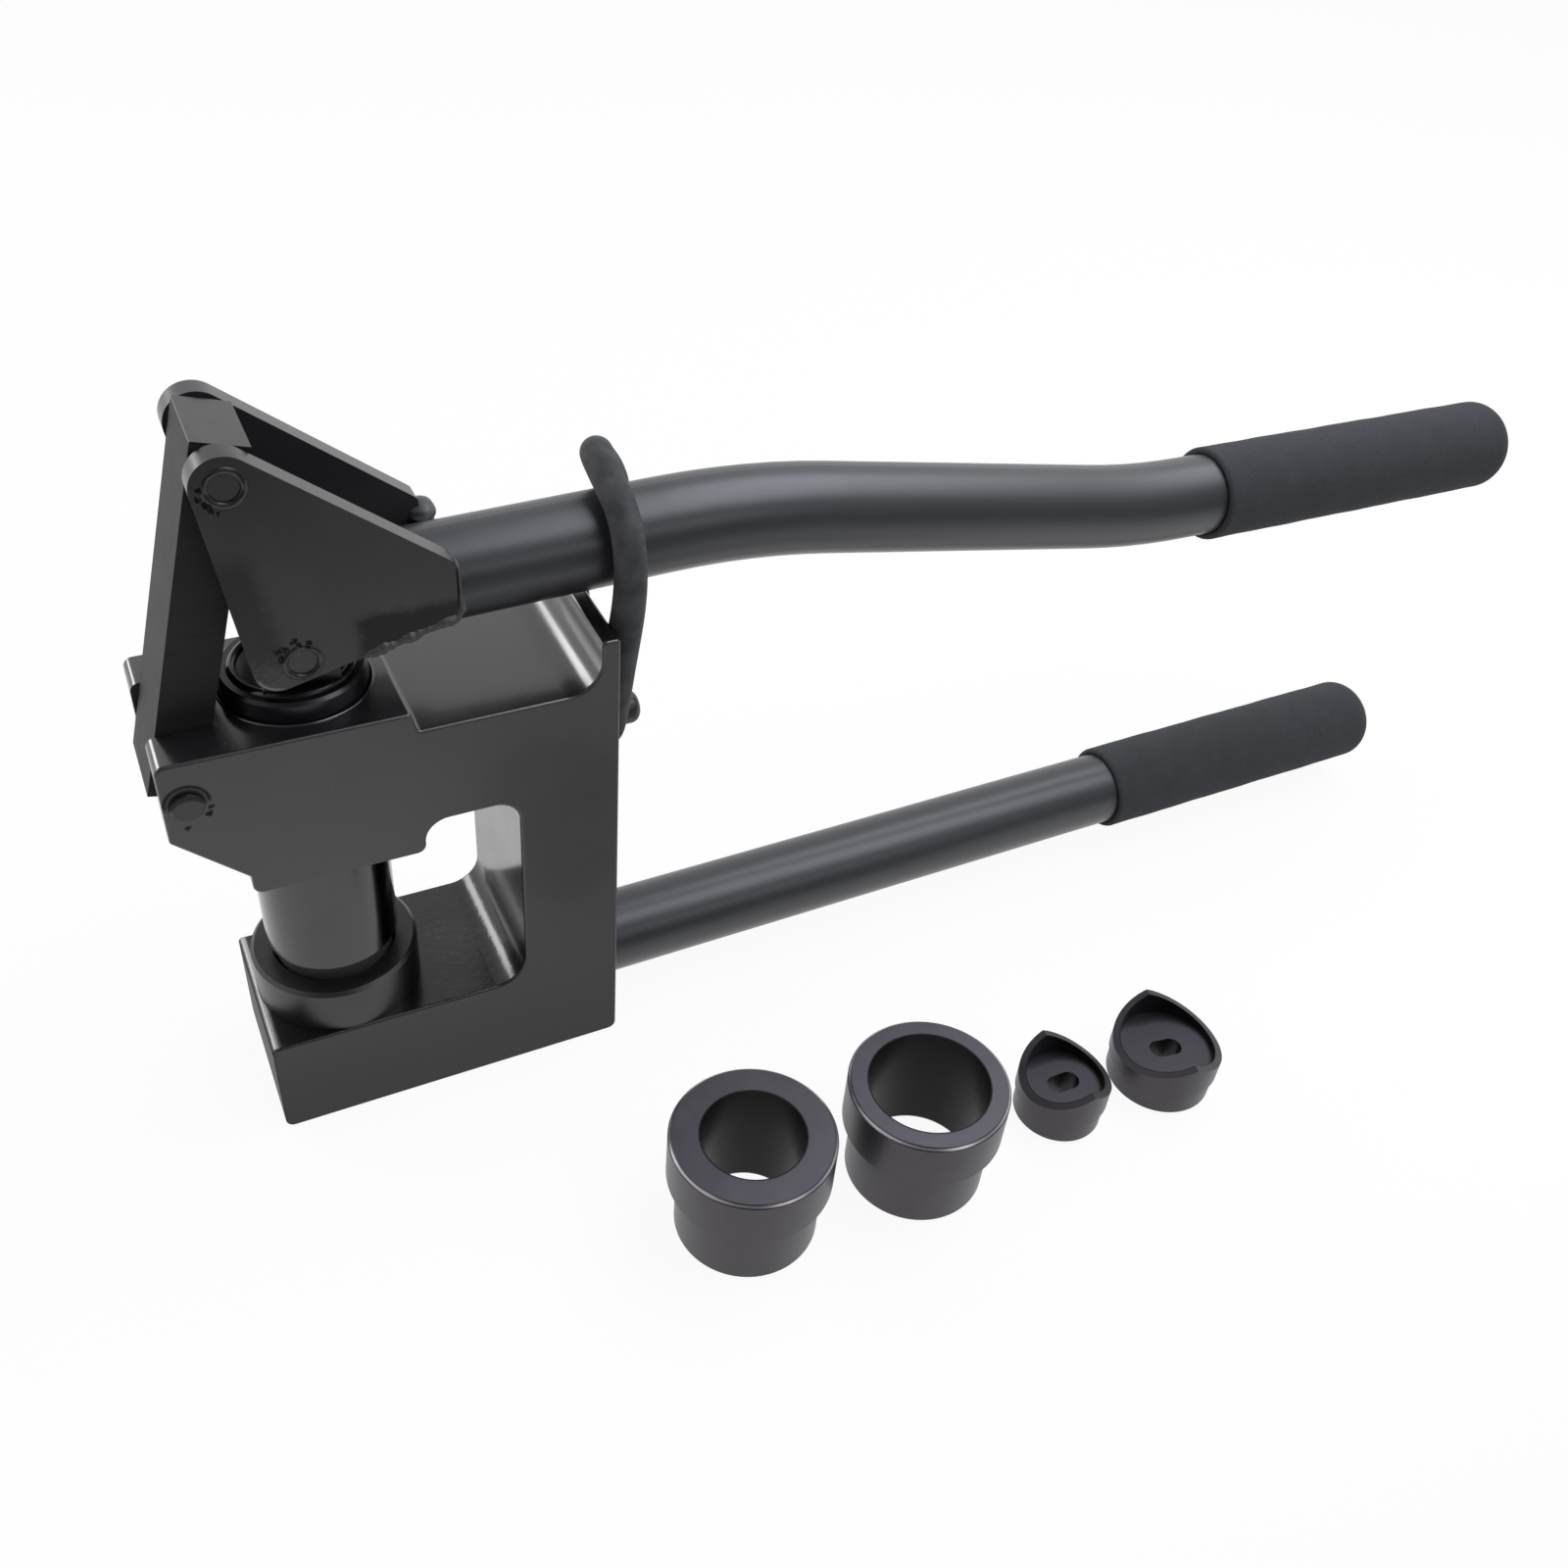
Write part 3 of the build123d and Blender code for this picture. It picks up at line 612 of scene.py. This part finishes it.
# Grid surface: each row of points is a closed ring; loop joins the last row to the first
def gridMesh(name, points, material, loop=False):
    rows, columns = points.shape[:2]
    index = np.arange(rows * columns).reshape(rows, columns)
    here = index if loop else index[:-1]
    after = np.roll(index, -1, axis=0) if loop else index[1:]
    faces = np.stack([here, np.roll(here, -1, 1), np.roll(after, -1, 1), after], axis=-1).reshape(-1, 4)
    mesh = bpy.data.meshes.new(name)
    mesh.from_pydata((points.reshape(-1, 3) * mm).tolist(), [], faces.tolist())
    shell = bmesh.new()
    shell.from_mesh(mesh)
    bmesh.ops.remove_doubles(shell, verts=shell.verts, dist=mergeGap)  # closes the poles
    bmesh.ops.recalc_face_normals(shell, faces=shell.faces)
    shell.to_mesh(mesh)
    shell.free()
    mesh.polygons.foreach_set("use_smooth", np.ones(len(mesh.polygons), dtype=bool))
    mesh.update()
    mesh.materials.append(material)
    piece = bpy.data.objects.new(name, mesh)
    bpy.context.scene.collection.objects.link(piece)
    return piece


# new piece on a body, in place of a CAD node where one is named
def mount(piece, body, node=None):
    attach(piece, body)
    if node:
        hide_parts(node)


# angles of a full turn
def fullTurn(count):
    return np.linspace(0, 2 * np.pi, count, endpoint=False)


# arc of a profile: centre plus radius times cosine and sine of an even run of angles
def arc(centre, radius, start, end, count):
    turn = np.radians(np.linspace(start, end, count))
    return np.stack([centre[0] + radius * np.cos(turn), centre[1] + radius * np.sin(turn)], axis=1)


# Foam grips, closed at the far end; a wave is its share, its turn for each mm and its count round the grip
sleeve = {
    "bore": 12.55, "outer": 14.5, "cap": 5.0, "innerLip": 0.7, "outerLip": 1.1, "crown": 8.4,
    "step": 1.0, "capStep": 0.6,  # clear of a rounded edge before the next even run of points
    "swell": 0.05, "swellFrom": 13.4, "longWave": (1.0, 0.19, 2), "shortWave": (0.7, 0.43, -3),
    "around": 96,
    "rows": {"floor": 5, "bore": 24, "innerLip": 6, "outerLip": 9, "outside": 110, "crown": 18, "cap": 7},
}
grips = [
    {
        "node": "upper_grip", "body": "handle",
        "mouth": (281.87, 139.05), "slope": -0.8, "length": 124.5, "phase": 0.4,
    },
    {
        "node": "lower_grip", "body": "block",
        "mouth": (271.94, 20.08), "slope": 0.7, "length": 120.0, "phase": 2.3,
    },
]


# outline of reach and radius, from the closed end's inside, out of the mouth and back over the outside
def sleeveOutline(length):
    bore, outer, crown, step = [sleeve[key] for key in ("bore", "outer", "crown", "step")]
    small, wide, rows = sleeve["innerLip"], sleeve["outerLip"], sleeve["rows"]
    inside = length - sleeve["cap"]
    return np.concatenate([
        np.linspace((inside, 0.0), (inside, bore), rows["floor"]),
        np.linspace((inside - step, bore), (small + step, bore), rows["bore"]),
        arc((small, bore + small), small, 270, 180, rows["innerLip"]),
        arc((wide, outer - wide), wide, 180, 90, rows["outerLip"]),
        np.linspace((wide + step, outer), (length - crown - step, outer), rows["outside"]),
        arc((length - crown, outer - crown), crown, 90, 0, rows["crown"]),
        np.linspace((length, outer - crown - sleeve["capStep"]), (length, 0.0), rows["cap"]),
    ])


# sleeve: the outline's radius, plus a faint swell of two sine waves outside, carried round the tube's axis
def foamSleeve(grip):
    reach, radius = sleeveOutline(grip["length"]).T[:, :, None]
    turn = fullTurn(sleeve["around"])[None, :]
    phases = {"longWave": grip["phase"], "shortWave": 0.0}
    wave = 0
    for key, phase in phases.items():
        share, along, around = sleeve[key]
        wave = wave + share * np.sin(along * reach + phase + around * turn)
    radius = radius + sleeve["swell"] * wave * np.clip(radius - sleeve["swellFrom"], 0, 1)
    slope = math.radians(grip["slope"])
    x = grip["mouth"][0] + reach * math.cos(slope) - radius * np.sin(turn) * math.sin(slope)
    z = grip["mouth"][1] + reach * math.sin(slope) + radius * np.sin(turn) * math.cos(slope)
    return np.stack([x, radius * np.cos(turn), z], axis=-1)


for grip in grips:
    piece = gridMesh(grip["node"] + "_foam", foamSleeve(grip), foam)
    mount(piece, grip["body"], grip["node"])
print("grips made")

# Rubber ring: pull points in order, up in front, over the handle, down behind and under the stud; a bulge is
# a share of the radius, the height of its middle and its reach
band = {
    "x": 81.45, "radius": 4.25, "steps": 26, "around": 40,
    "overHandle": (-0.03, 176.0, 12.0), "atStud": (-0.27, 101.0, 10.0),
    "belly": (0.06, 138.0, 14.0), "bellyFade": 6.0, "crown": (0.06, 184.0, 5.0),
}
pulls = np.array([
    (0.0, -6.3, 100.4), (0.0, -8.1, 117.0), (0.0, -12.1, 135.0), (0.0, -17.5, 154.0), (0.0, -17.6, 167.0),
    (0.0, -12.2, 176.6), (0.0, -1.8, 180.1), (0.2, 7.0, 182.9), (3.4, 15.2, 178.4), (8.6, 19.0, 170.5),
    (11.0, 20.6, 162.0), (5.0, 22.0, 150.0), (-0.6, 23.6, 139.0), (0.0, 22.8, 126.0), (0.0, 13.0, 112.0),
    (0.0, 6.3, 100.4),
])


# middle line: closed quadratic B-spline, each stretch a blend of three neighbouring pull points
def bandLine():
    t = np.linspace(0, 1, band["steps"], endpoint=False)[None, :, None]
    before, after = np.roll(pulls, 1, axis=0)[:, None], np.roll(pulls, -1, axis=0)[:, None]
    line = 0.5 * (1 - t) ** 2 * before + (0.5 + t - t * t) * pulls[:, None] + 0.5 * t * t * after
    return line.reshape(-1, 3) + (band["x"], 0, 0)


# bulge: the share times a bell curve over the height
def bulge(key, height):
    share, middle, reach = band[key]
    return share * np.exp(-(((height - middle) / reach) ** 2))


# ring: a circle square to the line at each step, thinner where it is stretched over the handle and round the
# stud, fuller in the near strand's belly and at the top
def bandSurface():
    line = bandLine()
    along = np.roll(line, -1, axis=0) - np.roll(line, 1, axis=0)
    along /= np.linalg.norm(along, axis=1, keepdims=True)
    side = np.array((1.0, 0, 0)) - along * along[:, :1]
    side /= np.linalg.norm(side, axis=1, keepdims=True)
    out = np.cross(along, side)
    turn = fullTurn(band["around"])[None, :, None]
    y, z = line[:, 1], line[:, 2]
    near = 0.5 - 0.5 * np.tanh(y / band["bellyFade"])
    swell = bulge("overHandle", z) + bulge("atStud", z) + near * bulge("belly", z) + bulge("crown", z)
    thick = band["radius"] * (1 + swell)[:, None, None]
    return line[:, None] + thick * (np.cos(turn) * side[:, None] + np.sin(turn) * out[:, None])


ringPiece = gridMesh("handle_strap_rubber", bandSurface(), rubber, loop=True)
mount(ringPiece, "handle", "handle_strap")
print("rubber ring made")

# Weld beads: middle line in X and Z, along the plate's lower edge and up its blunt end; a grain wave is its
# share, its turn for each mm and its count round the bead
bead = {
    "start": (9.9, 152.8), "corner": (38.0, 159.9), "end": (38.0, 174.0), "y": 14.7,
    "spread": 4.5, "height": 2.1, "steps": 300, "around": 40, "cornerBlend": 31,
    "lumpPitch": 8.3, "ripplePitch": 2.1, "wander": 0.8, "wanderTurn": 0.45,
    "size": {"plain": 0.84, "lumps": 0.3, "ripple": 0.05},
    "grain": [(0.05, 1.3, 3), (0.03, 2.9, -2)],
    "climbAfter": 1.0, "climbOver": 3.0, "endPower": 9, "steady": 0.6,
}
beads = [
    {"node": "plate_weld_front", "side": -1, "endRise": 0.45, "phase": 0.0},
    {"node": "plate_weld_rear", "side": 1, "endRise": 1.75, "phase": 2.1},
]


# wave from 0 to 1 and back over each pitch
def pulse(along, pitch):
    return 0.5 + 0.5 * np.cos(2 * np.pi * along / pitch)


# running mean, which rounds the line's corner
def smoothed(values, count):
    return np.convolve(np.pad(values, count // 2, mode="edge"), np.ones(count) / count, "valid")


# bead: an ellipse carried along the line; its size swells in lumps, ripples finely and closes at both ends
def beadSurface(weld):
    corners = np.array([bead["start"], bead["corner"], bead["end"]])
    runs = np.concatenate([[0], np.cumsum(np.linalg.norm(np.diff(corners, axis=0), axis=1))])
    s = np.linspace(0, runs[-1], bead["steps"])
    x, z = [smoothed(np.interp(s, runs, corners[:, axis]), bead["cornerBlend"]) for axis in (0, 1)]
    tangent = np.stack([np.gradient(x), np.gradient(z)], axis=1)
    tangent /= np.linalg.norm(tangent, axis=1, keepdims=True)
    wander = s + bead["wander"] * np.sin(bead["wanderTurn"] * s + weld["phase"])
    size = bead["size"]
    swell = size["plain"] + size["lumps"] * pulse(wander, bead["lumpPitch"])
    swell = swell + size["ripple"] * pulse(wander, bead["ripplePitch"])
    climb = np.clip((s - runs[1] - bead["climbAfter"]) / bead["climbOver"], 0, 1)
    rise = (1 - climb) + climb * weld["endRise"]
    cap = np.sqrt(np.clip(1 - np.abs(2 * s / runs[-1] - 1) ** bead["endPower"], 0, 1))
    turn = fullTurn(bead["around"])[None, :]
    grain = 1
    for share, along, around in bead["grain"]:
        grain = grain + share * np.sin(along * s[:, None] + around * turn)
    bulk = (cap * rise * swell)[:, None] * grain
    height = bead["height"] * bulk * np.sin(turn)
    width = bead["spread"] * cap[:, None] * (bead["steady"] + (1 - bead["steady"]) * bulk) * np.cos(turn)
    y = weld["side"] * (bead["y"] + width)
    return np.stack([x[:, None] - tangent[:, 1:] * height, y, z[:, None] + tangent[:, :1] * height], axis=-1)


for weld in beads:
    piece = gridMesh(weld["node"] + "_bead", beadSurface(weld), weldPaint)
    mount(piece, "handle", weld["node"])
print("welds made")

# Lips: metal staked up round the pin ends on both plates, the worn edge of the ram's bore and a fine step on
# the ram's shoulder; a wave of the uneven height is its share and its count round the lip
lipSection = {"across": 9, "power": 0.8, "slowWave": (0.25, 3), "quickWave": (0.15, 7)}
pinLip = {"inner": 3.35, "outer": 4.95, "height": 0.4, "depth": 0.3, "uneven": 1.0, "around": 72}
boreLip = {"inner": 18.2, "outer": 19.1, "height": 0.38, "depth": 0.3, "uneven": 0.0, "around": 160}
neckLip = {"inner": 12.9, "outer": 15.6, "height": 1.1, "depth": 0.3, "uneven": 0.0, "around": 160}
pinLips = {"ram_pin_lip": (0.0, 155.6), "link_pin_lip": (-10.8, 203.0)}  # X and Z of the pins
ramLips = [
    {
        "name": "ram_bore_lip", "lip": boreLip, "z": 137.8,
        "finish": blockPaint, "body": "block", "slot": "frame_paint",
    },
    {
        "name": "ram_neck_lip", "lip": neckLip, "z": 143.6,
        "finish": ramSteel, "body": "ram", "slot": "ram_steel",
    },
]


# lip: a low rounded section, a power of half a sine wave over the face and flat below, turned round an axis
def lipSurface(lip, at, face):
    inner, outer, depth = lip["inner"], lip["outer"], lip["depth"]
    across = np.linspace(0, 1, lipSection["across"])
    reach = np.concatenate([inner + (outer - inner) * across, [outer, inner]])[None, :]
    rise = np.concatenate([lip["height"] * np.sin(np.pi * across) ** lipSection["power"], [-depth, -depth]])
    turn = fullTurn(lip["around"])[:, None]
    (slow, slowCount), (quick, quickCount) = lipSection["slowWave"], lipSection["quickWave"]
    wave = slow * np.sin(slowCount * turn + at[0]) + quick * np.sin(quickCount * turn)
    rise = rise[None, :] * (1 + lip["uneven"] * wave)
    return np.stack([at[0] + reach * np.cos(turn), at[1] + reach * np.sin(turn), face + rise], axis=-1)


# a pin's lip is turned to stand out along Y, towards the front or the rear
for name, at in pinLips.items():
    for end, side in (("front", -1), ("rear", 1)):
        points = lipSurface(pinLip, at, -plateMarks["face"])[..., [0, 2, 1]] * (1, side, 1)
        mount(gridMesh(name + "_" + end, points, leverPaint, loop=True), "handle")
for ring in ramLips:
    points = lipSurface(ring["lip"], (0.0, 0.0), ring["z"])
    mount(gridMesh(ring["name"], points, ring["finish"], loop=True), ring["body"])
print("lips made")

# Camera, at the photograph's place; focal length and middle are in pixels of the image, which is square
shot = {
    "position": (-0.04304, -0.31993, 0.37139),
    "forward": (0.37966, 0.66958, -0.63837),
    "roll": 5.66,
    "focal": 1570.9,
    "image": 1600.0,
    "middle": (791.7, 789.6),
    "sensor": 36.0,
    "clip": (0.01, 50.0),
}
forward = Vector(shot["forward"]).normalized()
level = forward.cross(Vector((0, 0, 1))).normalized()
lift = level.cross(forward)
roll = math.radians(shot["roll"])
right = level * math.cos(roll) + lift * math.sin(roll)
up = lift * math.cos(roll) - level * math.sin(roll)
camera = bpy.data.cameras.new("camera")
camera.sensor_width = shot["sensor"]
camera.lens = shot["sensor"] * shot["focal"] / shot["image"]
camera.shift_x = (shot["image"] / 2 - shot["middle"][0]) / shot["image"]
camera.shift_y = (shot["middle"][1] - shot["image"] / 2) / shot["image"]
camera.clip_start, camera.clip_end = shot["clip"]
viewer = bpy.data.objects.new("camera", camera)
turned = Matrix((right, up, -forward)).transposed().to_4x4()
viewer.matrix_world = Matrix.Translation(shot["position"]) @ turned
bpy.context.scene.collection.objects.link(viewer)
bpy.context.scene.camera = viewer

# Floor: white paper that glows to the camera and in reflections; a dark card lies in front, out of view
paper = {
    "half": 6.0, "drop": 0.0001, "glow": 0.93, "card": (-0.46, -0.15),
    "white": rgb(0.82, 0.82, 0.82), "dark": rgb(0.2, 0.2, 0.2), "shader": {"roughness": 0.9, "specular": 0.1},
}
half = paper["half"]
floorMesh = bpy.data.meshes.new("floor")
corners = [(-half, -half, 0), (half, -half, 0), (half, half, 0), (-half, half, 0)]
floorMesh.from_pydata(corners, [], [(0, 1, 2, 3)])
floor = bpy.data.objects.new("floor", floorMesh)
floor.location.z = -paper["drop"]
bpy.context.scene.collection.objects.link(floor)


def floorPaper():
    bench = Finish("floorPaper", **paper["shader"])
    bare = bench.ease(bench.axes()[1], paper["card"])
    bench.set(colour=bench.mix(bare, paper["dark"], paper["white"]))
    path = bench.add("ShaderNodeLightPath", {}, {})
    direct, glossy, through = bench.outputs(path, ("Is Camera Ray", "Is Glossy Ray", "Is Transmission Ray"))
    seen = direct + glossy * bare + through
    share = seen.maths("MINIMUM", seen, 1.0) * paper["glow"]
    glow = bench.add("ShaderNodeEmission", {}, {"Color": rgb(1, 1, 1), "Strength": 1.0})
    plain = Value(bench, bench.shader.outputs[0])
    cover = bench.add("ShaderNodeMixShader", {}, {0: share, 1: plain, 2: glow})
    bench.feed(bench.tree.nodes["Material Output"].inputs["Surface"], cover)
    return bench.material


floorMesh.materials.append(floorPaper())

# Soft boxes: a wide one overhead, one behind on the left and a weak strip in front
softBoxes = [
    {
        "name": "overhead", "at": (0.75, -0.1, 1.25), "aim": (0.4, -0.02, 0.1),
        "size": (1.4, 0.85), "power": 17.0, "tint": (0.87, 0.92, 1.0),
    },
    {
        "name": "backLeft", "at": (-0.74, 0.8, 0.58), "aim": (0.0, 0.0, 0.12),
        "size": (0.55, 0.35), "power": 4.6, "tint": (1.0, 1.0, 1.0),
    },
    {
        "name": "rimLight", "at": (0.4, -0.9, 0.55), "aim": (0.1, -0.1, 0.05),
        "size": (0.5, 0.15), "power": 0.8, "tint": (1.0, 1.0, 1.0),
    },
]
for box in softBoxes:
    lamp = bpy.data.lights.new(box["name"], "AREA")
    lamp.shape = "RECTANGLE"
    lamp.size, lamp.size_y = box["size"]
    lamp.energy = box["power"]
    lamp.color = box["tint"]
    holder = bpy.data.objects.new(box["name"], lamp)
    holder.location = box["at"]
    holder.rotation_euler = (Vector(box["aim"]) - Vector(box["at"])).to_track_quat("-Z", "Y").to_euler()
    bpy.context.scene.collection.objects.link(holder)

# Room: a bright horizon and a dim ceiling, full strength at the back and low in front
room = {
    "stops": [
        (0.0, rgb(0.9, 0.9, 0.9)), (0.7, rgb(0.84, 0.84, 0.85)),
        (0.85, rgb(0.3, 0.3, 0.32)), (1.0, rgb(0.25, 0.25, 0.27)),
    ],
    "front": (-0.75, -0.1), "strength": (0.12, 1.0),
}
world = bpy.data.worlds.new("studio")
world.use_nodes = True
bpy.context.scene.world = world
sky = Bench(world.node_tree, "Generated")
_, inward, upward = sky.axes()
background = world.node_tree.nodes["Background"].inputs
sky.feed(background["Color"], sky.add("ShaderNodeValToRGB", {"stops": room["stops"]}, {0: upward}))
sky.feed(background["Strength"], sky.ease(inward, room["front"], room["strength"]))
bpy.context.scene.view_settings.view_transform = "Standard"
print("camera and studio ready")
